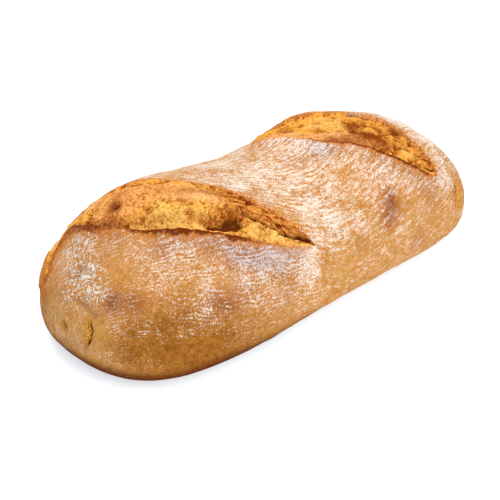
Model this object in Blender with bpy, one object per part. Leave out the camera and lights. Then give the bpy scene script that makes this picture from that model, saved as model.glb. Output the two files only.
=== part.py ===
"""An oblong country loaf of bread, whole and uncut, opened along its top by two slanting slashes.

Lengths are in metres.  X runs along the loaf, -Y is its front side, Z is up, and the loaf rests
flat on z = 0.  The crust is one closed skin: a plain loaf shape is worked out first, and the
slashes, the bread that swelled up in them and the small pinches at the ends are pushed in or
out of that skin afterwards.
"""

import bpy
import numpy as np
from math import pi

# ---------------------------------------------------------------- the whole loaf
LOAF_LENGTH = 0.270
FRONT_HALF_WIDTH = 0.0585
BACK_HALF_WIDTH = 0.0705
CROWN_HEIGHT = 0.0705
WIDEST_HEIGHT = 0.0170
SOLE_TUCK = 1.12
SECTION_ROUNDNESS_ABOVE = 2.08
SECTION_ROUNDNESS_BELOW = 2.6
FRONT_END_SQUARENESS = 6.8
BACK_END_SQUARENESS = 4.1
CROWN_END_SQUARENESS = 3.5
SOLE_END_SQUARENESS = 10.0

# the left end rose higher, and the back side is drawn in between the two slashes
LEFT_SWELL = 0.0037
LEFT_SWELL_AT = -0.058
LEFT_SWELL_SPREAD = 0.045
LEFT_BACK_FLATTENING = 0.0018
LEFT_BACK_FLATTENING_AT = -0.055
BACK_WAIST = 0.0105
BACK_WAIST_AT = 0.017
BACK_WAIST_SPREAD = 0.033
LEFT_HUMP = 0.0078
LEFT_HUMP_AT = -0.074
LEFT_HUMP_SPREAD = 0.035
SADDLE = 0.0035
SADDLE_AT = 0.003
SADDLE_SPREAD = 0.032

# the bounding box of the finished loaf is centred on the Z axis by this move
CENTRE_X = 0.0
CENTRE_Y = 0.00285

# ---------------------------------------------------------------- the two slashes
# tips in plan, half widths of the opening on its front and back side, and how much fuller (+)
# or slimmer (-) each side is towards the right-hand tip, and how far the front lip tore on round
# the end of the loaf; then the bread that fills it, its swelling and the cleft torn beside the
# back wall, placed as shares of the length (-1 to 1) and of the width (0 at the front lip, 1 at
# the back lip)
LEFT_SLASH = {
    "left_tip": (-0.0955, 0.0575),
    "right_tip": (-0.0060, -0.0505),
    "front_half": 0.0368,
    "front_power": 0.93,
    "front_lean": -0.165,
    "back_half": 0.0092,
    "back_power": 0.45,
    "back_lean": -0.85,
    "tear_reach": 0.0380,
    "tear_at": -0.97,
    "tear_spread": 0.075,
    "fill": -0.0034,
    "dome": 0.0050,
    "dome_along": 0.05,
    "dome_across": 0.42,
    "dome_long": 0.42,
    "dome_wide": 0.24,
    "cleft": 0.0085,
    "cleft_from": 0.10,
    "cleft_to": 0.45,
    "cleft_across": 0.62,
    "cleft_wide": 0.12,
    "wall_left": 0.0030,
    "wall_right": 0.0085,
}
RIGHT_SLASH = {
    "left_tip": (0.0090, 0.0480),
    "right_tip": (0.0950, -0.0445),
    "front_half": 0.0097,
    "front_power": 0.66,
    "front_lean": 0.35,
    "back_half": 0.0410,
    "back_power": 0.60,
    "back_lean": -0.40,
    "tear_reach": 0.0,
    "tear_at": -0.97,
    "tear_spread": 0.075,
    "fill": -0.0036,
    "dome": 0.0034,
    "dome_along": -0.05,
    "dome_across": 0.45,
    "dome_long": 0.55,
    "dome_wide": 0.30,
    "cleft": 0.0050,
    "cleft_from": 0.20,
    "cleft_to": 0.60,
    "cleft_across": 0.62,
    "cleft_wide": 0.14,
    "wall_left": 0.0030,
    "wall_right": 0.0050,
}
FRONT_LIP_RISE = 0.0018
BACK_LIP_RISE = 0.0007
LIP_SPREAD = 0.0055
FRONT_WALL = 0.0026
TIP_FADE = 0.0100

# ---------------------------------------------------------------- small marks
# each is a short line on the crust: start, end, depth (minus stands proud), width
PINCHES = [
    ((-0.125, -0.003, 0.044), (-0.128, -0.024, 0.036), 0.0014, 0.0022),
    ((-0.131, -0.009, 0.034), (-0.134, -0.013, 0.021), 0.0022, 0.0016),
    ((-0.1335, 0.009, 0.027), (-0.1335, 0.009, 0.025), 0.0012, 0.0016),
    ((0.112, -0.044, 0.038), (0.107, -0.052, 0.028), 0.0022, 0.0018),
    ((0.108, -0.028, 0.052), (0.108, -0.027, 0.051), -0.0016, 0.0022),
]

# gentle unevenness of a hand-shaped crust: height and wave lengths along and around
UNEVEN = 0.0005
ROWS_ALONG = 330
ROWS_AROUND = 240
TRIANGLES = 10400


def clear_scene():
    """Remove whatever the new scene starts with."""
    for thing in list(bpy.data.objects):
        bpy.data.objects.remove(thing)


def smooth(value, low, high):
    """Rise from 0 at low to 1 at high with soft ends."""
    t = np.clip((value - low) / (high - low), 0.0, 1.0)
    return t * t * (3.0 - 2.0 * t)


def swell(x, at, spread):
    """A bell of height 1 centred at one place along the loaf."""
    return np.exp(-(((x - at) / spread) ** 2))


def end_curve(s, squareness):
    """1 in the middle and 0 at both ends, squarer for larger values."""
    return np.sqrt(np.clip(1.0 - np.abs(s) ** squareness, 0.0, 1.0))


def plain_loaf(s, v):
    """Points of the loaf before slashing: s runs -1 to 1 along it, v once around it."""
    x = s * LOAF_LENGTH / 2
    front = FRONT_HALF_WIDTH + LEFT_SWELL * swell(x, LEFT_SWELL_AT, LEFT_SWELL_SPREAD)
    front = front * end_curve(s, FRONT_END_SQUARENESS)
    back = BACK_HALF_WIDTH - BACK_WAIST * swell(x, BACK_WAIST_AT, BACK_WAIST_SPREAD)
    back = back - LEFT_BACK_FLATTENING * swell(x, LEFT_BACK_FLATTENING_AT, LEFT_SWELL_SPREAD)
    back = back * end_curve(s, BACK_END_SQUARENESS)
    crown = CROWN_HEIGHT + LEFT_HUMP * swell(x, LEFT_HUMP_AT, LEFT_HUMP_SPREAD)
    crown = crown - SADDLE * swell(x, SADDLE_AT, SADDLE_SPREAD)
    above = (crown - WIDEST_HEIGHT) * end_curve(s, CROWN_END_SQUARENESS)
    below = WIDEST_HEIGHT * SOLE_TUCK * end_curve(s, SOLE_END_SQUARENESS)
    across = np.cos(v)
    upward = np.sin(v)
    power = np.where(upward > 0, 2 / SECTION_ROUNDNESS_ABOVE, 2 / SECTION_ROUNDNESS_BELOW)
    wide = np.sign(across) * np.abs(across) ** power
    high = np.sign(upward) * np.abs(upward) ** power
    y = np.where(across > 0, wide * back, wide * front)
    z = WIDEST_HEIGHT + np.where(upward > 0, high * above, high * below)
    return np.stack([x + 0 * y, y, z], axis=-1)


def outward(points):
    """Unit directions pointing out of the skin at every grid point."""
    along = np.gradient(points, axis=0)
    around = np.roll(points, -1, axis=1) - np.roll(points, 1, axis=1)
    normal = np.cross(along, around)
    size = np.linalg.norm(normal, axis=-1, keepdims=True)
    normal = normal / np.maximum(size, 1e-12)
    middle = np.array([0.0, 0.0, WIDEST_HEIGHT])
    facing = np.sum(normal * (points - middle), axis=-1).mean()
    return normal if facing > 0 else -normal


def slash_place(x, y, slash):
    """Share of a slash's length, metres in from its front lip, back lip and tip, metres past a tip."""
    left = np.array(slash["left_tip"])
    right = np.array(slash["right_tip"])
    length = np.linalg.norm(right - left)
    run = (right - left) / length
    along = (x - left[0]) * run[0] + (y - left[1]) * run[1]
    across = -(x - left[0]) * run[1] + (y - left[1]) * run[0]
    share = 2 * along / length - 1
    held = np.clip(share, -1, 1)
    open_ends = 1 - held**2
    front = slash["front_half"] * open_ends ** slash["front_power"] * (1 + slash["front_lean"] * held)
    front = front + slash["tear_reach"] * swell(held, slash["tear_at"], slash["tear_spread"])
    back = slash["back_half"] * open_ends ** slash["back_power"] * (1 + slash["back_lean"] * held)
    from_tip = (1 - np.abs(held)) * length / 2
    beyond = np.maximum(np.abs(share) - 1, 0) * length / 2
    return held, across + front, back - across, from_tip, beyond


def slash_relief(x, y, slash):
    """Metres to push the skin out (+) or in (-) at points in and beside one slash."""
    share, from_front, from_back, from_tip, beyond = slash_place(x, y, slash)
    width = from_front + from_back
    place = np.clip(from_front / np.maximum(width, 1e-6), 0, 1)
    nearest = np.minimum(from_front, from_back)
    outside = np.hypot(np.minimum(nearest, 0), beyond)
    fade = smooth(width, 0.0, TIP_FADE)
    rise = np.where(from_front < from_back, FRONT_LIP_RISE, BACK_LIP_RISE)
    lip = rise * np.exp(-((outside / LIP_SPREAD) ** 2)) * fade
    dome = slash["dome"] * swell(share, slash["dome_along"], slash["dome_long"])
    dome = dome * swell(place, slash["dome_across"], slash["dome_wide"])
    torn = smooth(share, slash["cleft_from"], slash["cleft_to"])
    cleft = slash["cleft"] * torn * swell(place, slash["cleft_across"], slash["cleft_wide"])
    floor = (slash["fill"] + dome - cleft) * fade
    back_wall = slash["wall_left"] + (slash["wall_right"] - slash["wall_left"]) * torn
    back_wall = np.minimum(back_wall, 0.4 * width + 1e-6)
    front_wall = np.minimum(FRONT_WALL, 0.3 * width + 1e-6)
    inner = smooth(from_front, 0.0, front_wall) * smooth(from_back, 0.0, back_wall)
    inner = inner * smooth(from_tip, 0.0, FRONT_WALL)
    return lip * (1 - inner) + floor * inner


def line_mark(points, start, end, depth, width):
    """Metres a short crack or bump moves the skin inwards at every point."""
    start = np.array(start)
    end = np.array(end)
    run = end - start
    share = np.clip(((points - start) @ run) / max(run @ run, 1e-12), 0, 1)
    nearest = start + share[..., None] * run
    distance = np.linalg.norm(points - nearest, axis=-1)
    return depth * np.exp(-((distance / width) ** 2))


def loaf_skin():
    """Grid of points for the whole finished skin."""
    s = np.sin(np.linspace(-1, 1, ROWS_ALONG) * pi / 2)
    v = np.arange(ROWS_AROUND) / ROWS_AROUND * 2 * pi
    s, v = np.meshgrid(s, v, indexing="ij")
    points = plain_loaf(s, v)
    normal = outward(points)
    x = points[..., 0]
    y = points[..., 1]
    z = points[..., 2]
    top = smooth(z, 0.018, 0.028)
    push = slash_relief(x, y, LEFT_SLASH) * top + slash_relief(x, y, RIGHT_SLASH) * top
    for start, end, depth, width in PINCHES:
        push = push - line_mark(points, start, end, depth, width)
    waves = np.sin(x * 105 + 1.0) * np.cos(y * 95 - z * 70) + np.sin(x * 60 - y * 110 + 2.0)
    push = push + UNEVEN * waves * smooth(z, 0.004, 0.020) * (1 - s**8)
    points = points + normal * push[..., None]
    points[..., 2] = np.maximum(points[..., 2], 0.0)
    points = points - np.array([CENTRE_X, CENTRE_Y, 0.0])
    return points


def closed_mesh(name, points):
    """One closed mesh from the grid: a point at each end and rings between."""
    rows, around = points.shape[:2]
    inner = points[1:-1].reshape(-1, 3)
    ends = [points[0].mean(axis=0), points[-1].mean(axis=0)]
    verts = np.vstack([inner, ends])
    rings = rows - 2
    index = np.arange(rings * around).reshape(rings, around)
    right = np.roll(index, -1, axis=1)
    quads = np.stack([index[:-1], index[1:], right[1:], right[:-1]], axis=-1).reshape(-1, 4)
    first = rings * around
    last = first + 1
    cap_a = np.stack([np.full(around, first), index[0], right[0]], axis=-1)
    cap_b = np.stack([np.full(around, last), right[-1], index[-1]], axis=-1)
    faces = [list(map(int, q)) for q in quads]
    faces += [list(map(int, t)) for t in cap_a]
    faces += [list(map(int, t)) for t in cap_b]
    mesh = bpy.data.meshes.new(name)
    mesh.from_pydata([tuple(map(float, p)) for p in verts], [], faces)
    mesh.validate()
    mesh.update()
    return mesh


def face_outwards(mesh):
    """Turn every face over if the body would come out inside out."""
    count = len(mesh.polygons)
    centres = np.empty(count * 3)
    normals = np.empty(count * 3)
    mesh.polygons.foreach_get("center", centres)
    mesh.polygons.foreach_get("normal", normals)
    areas = np.empty(count)
    mesh.polygons.foreach_get("area", areas)
    volume = np.sum(centres.reshape(-1, 3) * normals.reshape(-1, 3), axis=1) @ areas / 3
    if volume < 0:
        mesh.flip_normals()
    return abs(volume)


def crust_material():
    """Baked crust: warm tan brown, dull."""
    material = bpy.data.materials.new("baked crust")
    material.use_nodes = True
    shader = material.node_tree.nodes["Principled BSDF"]
    shader.inputs["Base Color"].default_value = (0.58, 0.30, 0.10, 1.0)
    shader.inputs["Roughness"].default_value = 0.8
    return material


def lighter_mesh(thing):
    """Thin out the dense skin where it is smooth, and keep it where it bends."""
    dense = len(thing.data.polygons) * 2
    thinner = thing.modifiers.new("thin out", "DECIMATE")
    thinner.ratio = TRIANGLES / dense
    thinner.use_collapse_triangulate = True
    graph = bpy.context.evaluated_depsgraph_get()
    mesh = bpy.data.meshes.new_from_object(thing.evaluated_get(graph))
    thing.modifiers.remove(thinner)
    count = len(mesh.vertices)
    flat = np.empty(count * 3)
    mesh.vertices.foreach_get("co", flat)
    flat = flat.reshape(-1, 3)
    flat[:, 2] = np.where(flat[:, 2] < 0.00004, 0.0, flat[:, 2])
    mesh.vertices.foreach_set("co", flat.ravel())
    mesh.update()
    return mesh, flat


def build():
    """Make the loaf and print its size."""
    clear_scene()
    dense = closed_mesh("loaf", loaf_skin())
    face_outwards(dense)
    loaf = bpy.data.objects.new("loaf", dense)
    bpy.context.scene.collection.objects.link(loaf)
    mesh, places = lighter_mesh(loaf)
    mesh.name = "loaf"
    loaf.data = mesh
    mesh.materials.clear()
    mesh.materials.append(crust_material())
    volume = face_outwards(mesh)
    low = places.min(axis=0)
    high = places.max(axis=0)
    print("size in mm", np.round((high - low) * 1000, 2))
    print("middle in mm", np.round((high + low) * 500, 3), "triangles", len(mesh.polygons))
    print("volume in litres", round(volume * 1000, 3))


build()
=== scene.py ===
# %% [markdown]
# An oblong country loaf, made as a lesson in cells.
#
# A baker shapes this loaf into a fat oblong, dusts it with flour and opens its top with two slanting
# knife cuts. In the oven the dough bursts out of the cuts, so each one becomes a leaf-shaped opening
# with a raised lip, filled by rough torn crumb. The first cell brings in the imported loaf, a plain
# solid at its real size, which tells every later cell where the surfaces are.

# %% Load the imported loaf
import bpy
import numpy as np
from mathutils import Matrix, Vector


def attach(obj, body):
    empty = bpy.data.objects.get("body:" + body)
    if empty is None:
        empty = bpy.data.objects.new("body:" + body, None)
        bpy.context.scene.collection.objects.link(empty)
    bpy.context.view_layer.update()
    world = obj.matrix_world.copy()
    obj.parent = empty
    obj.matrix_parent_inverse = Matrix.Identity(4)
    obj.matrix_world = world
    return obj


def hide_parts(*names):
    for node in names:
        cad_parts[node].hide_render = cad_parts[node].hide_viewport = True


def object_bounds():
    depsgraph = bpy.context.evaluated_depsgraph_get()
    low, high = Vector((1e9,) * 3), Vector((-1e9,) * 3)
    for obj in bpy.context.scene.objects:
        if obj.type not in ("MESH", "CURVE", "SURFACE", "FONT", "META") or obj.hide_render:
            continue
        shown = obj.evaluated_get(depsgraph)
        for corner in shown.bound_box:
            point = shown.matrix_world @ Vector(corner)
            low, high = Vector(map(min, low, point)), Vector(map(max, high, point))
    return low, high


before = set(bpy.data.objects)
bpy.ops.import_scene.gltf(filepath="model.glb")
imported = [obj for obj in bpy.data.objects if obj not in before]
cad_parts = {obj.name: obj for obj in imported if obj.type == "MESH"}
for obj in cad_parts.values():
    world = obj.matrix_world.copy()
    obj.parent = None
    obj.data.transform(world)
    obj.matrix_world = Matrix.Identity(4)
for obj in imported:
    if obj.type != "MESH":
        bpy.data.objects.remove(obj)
solid_low, solid_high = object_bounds()
print("solid from", tuple(solid_low), "to", tuple(solid_high))

# %% [markdown]
# The loaf before it was cut is a plain shape: a rounded cross-section whose width and height change
# along the loaf. Both ends close like a squared-off oval, the left end rose higher, and the back side
# is drawn in between the two cuts. Named sizes in metres keep the shape easy to correct.

# %% Sizes of the plain loaf
LOAF_LENGTH = 0.270
FRONT_HALF_WIDTH = 0.0585
BACK_HALF_WIDTH = 0.0705
CROWN_HEIGHT = 0.0705
WIDEST_HEIGHT = 0.0170
SOLE_TUCK = 1.12
ROUND_ABOVE = 2.08
ROUND_BELOW = 2.6
LEFT_SWELL, LEFT_SWELL_AT, LEFT_SWELL_SPREAD = 0.0037, -0.058, 0.045
LEFT_BACK_FLATTENING, LEFT_BACK_FLATTENING_AT = 0.0018, -0.055
BACK_WAIST, BACK_WAIST_AT, BACK_WAIST_SPREAD = 0.0105, 0.017, 0.033
LEFT_HUMP, LEFT_HUMP_AT, LEFT_HUMP_SPREAD = 0.0078, -0.074, 0.035
SADDLE, SADDLE_AT, SADDLE_SPREAD = 0.0035, 0.003, 0.032
CENTRE_Y = 0.00285
print("plain loaf", round(LOAF_LENGTH * 1000), "mm long, its crown", round(CROWN_HEIGHT * 1000, 1), "mm high")

# %% [markdown]
# Every curve of the loaf comes from three small ones: a soft step, a bell, and a curve that closes the
# ends. The outline adds bells to the named sizes, so a swelling or a waist can be moved by itself. A
# subdivided box could be pushed into the same shape, but formulas also tell how far any point is from
# a cut, and which way is straight out of the loaf.

# %% Shape of the plain loaf


def smooth(value, low, high):
    """Rise from 0 at low to 1 at high with soft ends: 3t squared less 2t cubed."""
    t = np.clip((value - low) / (high - low), 0.0, 1.0)
    return t * t * (3.0 - 2.0 * t)


def swell(value, at, spread):
    """A bell of height 1: e to the minus square of the distance over the spread."""
    return np.exp(-(((value - at) / spread) ** 2))


def end_curve(s, squareness):
    """1 in the middle and 0 at both ends: the root of one less s to a power."""
    return np.sqrt(np.clip(1.0 - np.abs(s) ** squareness, 0.0, 1.0))


def loaf_outline(x):
    """Half width in front, half width behind, crown height and sole depth at places x."""
    s = np.clip(x / (LOAF_LENGTH / 2), -1, 1)
    front = FRONT_HALF_WIDTH + LEFT_SWELL * swell(x, LEFT_SWELL_AT, LEFT_SWELL_SPREAD)
    back = BACK_HALF_WIDTH - BACK_WAIST * swell(x, BACK_WAIST_AT, BACK_WAIST_SPREAD)
    back = back - LEFT_BACK_FLATTENING * swell(x, LEFT_BACK_FLATTENING_AT, LEFT_SWELL_SPREAD)
    crown = CROWN_HEIGHT + LEFT_HUMP * swell(x, LEFT_HUMP_AT, LEFT_HUMP_SPREAD)
    crown = crown - SADDLE * swell(x, SADDLE_AT, SADDLE_SPREAD)
    above = (crown - WIDEST_HEIGHT) * end_curve(s, 3.5)
    below = WIDEST_HEIGHT * SOLE_TUCK * end_curve(s, 10.0)
    return front * end_curve(s, 6.8), back * end_curve(s, 4.1), above, below


def plain_loaf(s, v):
    """Points of the uncut loaf: s runs -1 to 1 along it, v once around its rounded section.

    y is the half width times the cosine of v to a power, z the height times its sine to a power.
    """
    x = s * LOAF_LENGTH / 2
    front, back, above, below = loaf_outline(x)
    across, upward = np.cos(v), np.sin(v)
    power = np.where(upward > 0, 2 / ROUND_ABOVE, 2 / ROUND_BELOW)
    wide = np.sign(across) * np.abs(across) ** power
    high = np.sign(upward) * np.abs(upward) ** power
    y = np.where(across > 0, wide * back, wide * front)
    z = WIDEST_HEIGHT + np.where(upward > 0, high * above, high * below)
    return np.stack([x + 0 * y, y, z], axis=-1)


def loaf_frame(s, v):
    """Points of the uncut loaf and the unit directions out of it, from small steps in s and v."""
    step = 1e-4 * (1 - np.abs(s)) + 1e-8
    along = plain_loaf(np.clip(s + step, -1, 1), v) - plain_loaf(np.clip(s - step, -1, 1), v)
    around = plain_loaf(s, v + 2e-3) - plain_loaf(s, v - 2e-3)
    out = np.cross(around, along)
    size = np.linalg.norm(out, axis=-1, keepdims=True)
    pole = np.stack([np.sign(s), 0 * s, 0 * s], axis=-1)
    return plain_loaf(s, v), np.where(size > 1e-13, out / np.maximum(size, 1e-13), pole)


def place_over(x, y):
    """The s and v of the crust point that lies straight above plan place (x, y)."""
    front, back, _, _ = loaf_outline(x)
    share = np.clip(np.abs(y) / (np.where(y > 0, back, front) + 1e-9), 0, 0.9995)
    return x / (LOAF_LENGTH / 2), np.arccos(np.sign(y) * share ** (ROUND_ABOVE / 2))


crown = plain_loaf(np.zeros(1), np.full(1, np.pi / 2))[0, 2]
print("crown over the middle:", np.round(crown * 1000, 1), "mm")

# %% [markdown]
# Bread is never smooth, so a few kinds of roughness are made with numpy. Soft noise blends random
# values at the corners of a grid of cubes, and layered noise adds finer and finer soft noise. Bubble
# noise measures the distance to the nearest of many scattered points, which gives the round holes
# and crumbs of torn bread. All are seeded by whole numbers, so every run gives the same loaf.

# %% Roughness helpers
TABLE = np.random.default_rng(7).uniform(-1, 1, 65536)


def corner_value(cell, salt):
    """A random value for each whole-numbered corner, mixed from its three numbers and a salt."""
    mixed = cell[..., 0] * 73856093 ^ cell[..., 1] * 19349663 ^ cell[..., 2] * 83492791
    mixed = (mixed + salt * 2654435761) * 2246822519 & 0xFFFFFFFFFFFF
    return TABLE[(mixed ^ mixed >> 17) & 65535]


def soft_noise(points, size, salt):
    """Noise from -1 to 1: the eight corner values of a cube of that size, blended smoothly."""
    places = points / size
    cell = np.floor(places).astype(np.int64)
    part = places - cell
    part = part * part * part * (part * (part * 6 - 15) + 10)
    total = np.zeros(points.shape[:-1])
    for corner in range(8):
        step = np.array([corner & 1, corner >> 1 & 1, corner >> 2 & 1])
        weight = np.prod(np.where(step, part, 1 - part), axis=-1)
        total += weight * corner_value(cell + step, salt)
    return total


def layered_noise(points, size, layers, salt):
    """Soft noise plus half as much at half the size, and so on."""
    total = np.zeros(points.shape[:-1])
    for layer in range(layers):
        total += soft_noise(points, size / 2**layer, salt + layer) * 0.5**layer
    return total


def bubble_noise(points, size, salt):
    """Distance to the nearest scattered point, as a share of the cell size."""
    places = points / size
    cell = np.floor(places).astype(np.int64)
    best = np.full(points.shape[:-1], 9.0)
    for near in range(27):
        other = cell + np.array([near % 3 - 1, near // 3 % 3 - 1, near // 9 - 1])
        jump = [corner_value(other, salt + k) * 0.5 + 0.5 for k in (11, 12, 13)]
        gap = other + np.stack(jump, axis=-1) - places
        best = np.minimum(best, np.sum(gap * gap, axis=-1))
    return np.sqrt(best)


trial = np.random.default_rng(1).uniform(0, 0.1, (2000, 3))
print("soft noise spreads", np.round(soft_noise(trial, 0.01, 1).std(), 2), "round 0")

# %% [markdown]
# A knife cut is a straight line between two tips, seen from above. Where it opened, the crust drew back
# by a different amount on its front and back side, so the opening is a leaf with two lips. Every
# point of the loaf can be given its place in this leaf: its share of the length from -1 to 1, and
# how far it is in from the front lip, from the back lip and from a tip. At the left end of the loaf
# the left opening also tore on round the shoulder.
#
# The tips, the margins and the first number of front, back and tear are metres. Front and back also
# have a power, which makes the leaf blunt or sharp, and a lean to one end. The tear has the share
# where it is widest and its spread. The rows start with a share, and say what is there: the lip's
# brown reach in millimetres and its strength, the reach of the brown rim behind the opening, the
# rise of the folded lip, and how strong the cool shade painted on the skin is.

# %% The two cuts
LEFT_CUT = {
    "left_tip": (-0.0955, 0.0575), "right_tip": (-0.0060, -0.0505), "tear": (0.0380, -0.97, 0.075),
    "front": (0.0368, 0.93, -0.165), "back": (0.0092, 0.45, -0.85),
    "lip": ((-1.0, 4.0, 0.6), (-0.9, 7.5, 1.15), (-0.62, 7.0, 1.2), (-0.45, 3.2, 1.0), (-0.1, 3.4, 1.35),
            (0.05, 3.8, 1.5), (0.45, 3.2, 1.4), (0.6, 1.8, 1.0), (1.0, 1.0, 0.5)),
    "rim": ((-1.0, 5.0), (-0.5, 4.0), (0.0, 1.6), (1.0, 1.3)),
    "fold": ((-0.20, 0.0), (-0.05, 2.0), (0.06, 2.6), (0.16, 1.8),
             (0.25, 0.5), (0.36, 0.3), (0.46, 1.3), (0.58, 0.0)),
    "cool_shade": ((-1.0, 0.4), (-0.3, 0.0), (0.0, 0.3), (0.3, 1.0), (0.8, 1.0), (1.0, 0.5)),
    "margins": (0.0022, 0.0065), "roughness": 0.85, "salt": 100,
}
RIGHT_CUT = {
    "left_tip": (0.0090, 0.0480), "right_tip": (0.0950, -0.0445), "tear": (0.0, -0.97, 0.075),
    "front": (0.0097, 0.66, 0.35), "back": (0.0410, 0.60, -0.40),
    "lip": ((-1.0, 1.0, 0.3), (-0.5, 1.0, 0.4), (-0.1, 1.6, 1.1), (0.05, 2.6, 1.25),
            (0.35, 2.6, 1.3), (0.6, 3.0, 1.4), (0.9, 2.8, 1.2), (1.0, 1.4, 0.5)),
    "rim": ((-1.0, 6.0), (0.1, 6.0), (0.4, 2.0), (1.0, 1.6)),
    "fold": ((-1.0, 0.0), (1.0, 0.0)),
    "cool_shade": ((-1.0, 0.0), (-0.3, 0.1), (0.0, 0.5), (0.3, 0.5), (0.8, 0.9), (1.0, 0.6)),
    "margins": (0.0065, 0.0065), "roughness": 1.15, "salt": 200,
}
CUTS = (LEFT_CUT, RIGHT_CUT)


def cut_line(cut):
    """Left tip, unit run from left to right tip, and length of a cut in plan."""
    left, right = np.array(cut["left_tip"]), np.array(cut["right_tip"])
    length = np.linalg.norm(right - left)
    return left, (right - left) / length, length


def lip_distances(share, cut):
    """How far the two lips stand from the cut line.

    Each is its size times one less the share squared, to a power, and leans to one end by a
    straight slope. The front lip adds the tear, which is a bell.
    """
    held = np.clip(share, -1, 1)
    sides = [size * (1 - held**2) ** power * (1 + lean * held)
             for size, power, lean in (cut["front"], cut["back"])]
    reach, at, spread = cut["tear"]
    return sides[0] + reach * swell(held, at, spread), sides[1]


def place_in_cut(x, y, cut):
    """Share of the length; metres in from the front lip, back lip and tip; metres past a tip."""
    left, run, length = cut_line(cut)
    along = (x - left[0]) * run[0] + (y - left[1]) * run[1]
    across = -(x - left[0]) * run[1] + (y - left[1]) * run[0]
    share = 2 * along / length - 1
    front, back = lip_distances(share, cut)
    from_tip = (1 - np.clip(np.abs(share), 0, 1)) * length / 2
    beyond = np.maximum(np.abs(share) - 1, 0) * length / 2
    return np.clip(share, -1, 1), across + front, back - across, from_tip, beyond


def read_along(share, rows):
    """What the rows say at a share of the cut, in straight steps from row to row."""
    at, *columns = np.array(rows).T
    return [np.interp(share, at, column) for column in columns]


for cut in CUTS:
    front, back = lip_distances(np.array(0.0), cut)
    length, width = cut_line(cut)[2], float(front + back)
    print("cut", round(length * 1000), "mm long,", round(width * 1000), "mm wide")

# %% [markdown]
# Cracks, pits and patches are small, and easiest to note down as a designer would: places in
# millimetres on the plan of the loaf, with a width and a depth. A crack's effect at a point is
# a bell of the point's distance to the line through its places.

# %% Spots and grooves


def in_metres(places):
    """Places given in millimetres, as an array in metres."""
    return np.array(places, float) / 1000


def on_crust(places):
    """Points on the uncut crust above plan places given in millimetres."""
    plan = in_metres(places)
    s, v = place_over(plan[:, 0], plan[:, 1])
    return plain_loaf(s, v)


def line_distance(points, line):
    """Metres from each point to a line through a few places: the least over its straight runs."""
    best = np.full(points.shape[:-1], 9.0)
    for start, end in zip(line[:-1], line[1:]):
        run = end - start
        share = np.clip(((points - start) @ run) / max(run @ run, 1e-12), 0, 1)
        best = np.minimum(best, np.linalg.norm(points - (start + share[..., None] * run), axis=-1))
    return best


def spots(points, table):
    """Sum of bells round listed places: x, y in mm on the plan, reach in mm, strength."""
    total = np.zeros(points.shape[:-1])
    for x, y, reach, strength in table:
        distance = np.linalg.norm(points - on_crust([(x, y)])[0], axis=-1)
        total += strength * swell(distance, 0, reach / 1000)
    return total


def grooves(points, table, ragged):
    """Highest bell across listed cracks: places, width in mm, strength; ragged shifts their edges."""
    total = np.zeros(points.shape[:-1])
    for places, width, strength in table:
        distance = np.maximum(line_distance(points, on_crust(places)) + ragged, 0)
        total = np.maximum(total, strength * swell(distance, 0, width / 1000))
    return total


middle_spot = spots(on_crust([(0, 0), (4, 0), (8, 0)]), [(0, 0, 4, 1.0)])
print("a spot of 4 mm at its middle, its reach and twice that:", np.round(middle_spot, 2))

# %% [markdown]
# The ends of the loaf are steep, so a plan would not place their marks well. These lines have three
# numbers for each point, in millimetres: along the loaf, across it, and up. A pinch pushes the skin in
# by its last number, a bump lifts it, and a mark only colours it: as torn crumb, as painted dark shade
# beside a split, or as painted grey shade in a crease.

# %% Pinches, bumps and marks at the ends
END_SPLIT = ((-130.6, -11.8, 33.5), (-131.4, -13.6, 30.5), (-132.3, -14.6, 27.1), (-133.2, -14.0, 24.0))
END_SPLIT_EDGE = ((-130.0, -13.4, 33.8), (-130.8, -16.0, 31.1), (-132.0, -16.4, 27.5), (-133.1, -14.9, 23.7))
END_CREASE = ((-127.2, 1.2, 40.4), (-127.3, -5.4, 40.2), (-127.2, -11.1, 39.3), (-127.4, -15.3, 37.9))
END_FOLD = ((-120.7, 8.6, 47.7), (-118.5, 9.3, 49.7), (-116.6, 7.4, 51.6))
END_HOLE = ((-133.8, 4.2, 26.4), (-133.8, 3.6, 25.2))
RIGHT_SPLIT = ((109.2, -47.2, 33.2), (106.6, -50.0, 29.0), (104.0, -52.0, 26.2))
RIGHT_SPLIT_EDGE = ((106.2, -47.4, 35.0), (101.8, -50.8, 31.2), (100.8, -53.1, 26.2))
PINCHES = [
    (END_SPLIT, 1.9, 1.6), (END_SPLIT_EDGE, 1.2, 1.8), (END_CREASE, 2.2, 0.8),
    (END_FOLD, 1.8, 1.2), (END_HOLE, 1.6, 2.8), (RIGHT_SPLIT, 1.6, 2.4),
]
BUMPS = [((110.0, -28.0, 49.5), 2.0, 2.4), ((-129.0, -20.0, 27.0), 7.0, 0.7)]
MARKS = {
    "crack": [(END_SPLIT, 1.9), (RIGHT_SPLIT, 3.2), (END_HOLE, 2.0)],
    # This row and the next paint shade: a dark edge beside each split, and grey shade in the creases.
    "slit_shade": [(END_SPLIT_EDGE, 0.65), (END_HOLE, 1.0), (RIGHT_SPLIT_EDGE, 0.8)],
    "crease_shade": [(END_CREASE, 1.8), (END_FOLD, 2.0)],
}
print(len(PINCHES), "pinches and", len(BUMPS), "bumps")

# %% [markdown]
# Drying flour wrinkles the skin, and the wrinkles run along the cuts on the bridge between them and turn
# towards the right-hand end. A texture that should follow them needs coordinates that bend with them.
# So each point gets one number across the wrinkles and one along them.

# %% Wrinkle coordinates
ARC_RADIUS, ARC_CENTRE = 56, 10
BRIDGE_SLOPE, RIGHT_SLOPE, FRONT_SLOPE, END_SLOPE = 0.68, 0.30, 0.16, 0.50


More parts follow.
